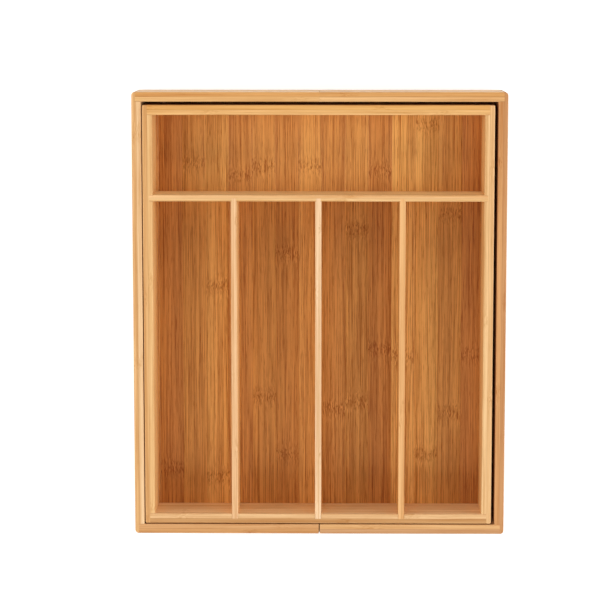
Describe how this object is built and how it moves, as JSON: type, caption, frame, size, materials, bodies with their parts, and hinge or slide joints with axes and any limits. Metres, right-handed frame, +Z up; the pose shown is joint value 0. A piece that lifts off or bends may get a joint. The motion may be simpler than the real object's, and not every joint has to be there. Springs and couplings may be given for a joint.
{
  "type": "cutlery tray",
  "caption": "Expandable bamboo cutlery tray for a drawer, with a cross compartment, long compartments and a slide-out section on each side.",
  "frame": {"origin": "on the surface that it stands on, under the middle of the closed tray", "axes": "+Z up, +Y towards the back, where the cross compartment is, +X right; the sections slide out along -X and +X"},
  "size_m": [0.3714, 0.444, 0.0635],
  "materials": {
    "bamboo_board": "satin",
    "bamboo_floor": "satin",
    "bamboo_divider": "satin",
    "hardwood_pin": "matte"
  },
  "bodies": {
    "tray": {"tray_left_wall": "bamboo_board", "tray_right_wall": "bamboo_board", "tray_front_wall": "bamboo_board", "tray_back_wall": "bamboo_board", "tray_floor": "bamboo_floor", "cross_divider": "bamboo_divider", "left_long_divider": "bamboo_divider", "middle_long_divider": "bamboo_divider", "right_long_divider": "bamboo_divider", "left_guide_pins": "hardwood_pin", "right_guide_pins": "hardwood_pin"},
    "left_section": {"left_section_side_wall": "bamboo_board", "left_section_front_wall": "bamboo_board", "left_section_back_wall": "bamboo_board", "left_section_floor": "bamboo_floor"},
    "right_section": {"right_section_side_wall": "bamboo_board", "right_section_front_wall": "bamboo_board", "right_section_back_wall": "bamboo_board", "right_section_floor": "bamboo_floor"}
  },
  "joints": [
    {"name": "left_section_slide", "type": "slide", "parent": "tray", "child": "left_section", "axis": [-1, 0, 0], "range_m": [0, 0.095]},
    {"name": "right_section_slide", "type": "slide", "parent": "tray", "child": "right_section", "axis": [1, 0, 0], "range_m": [0, 0.095]}
  ]
}
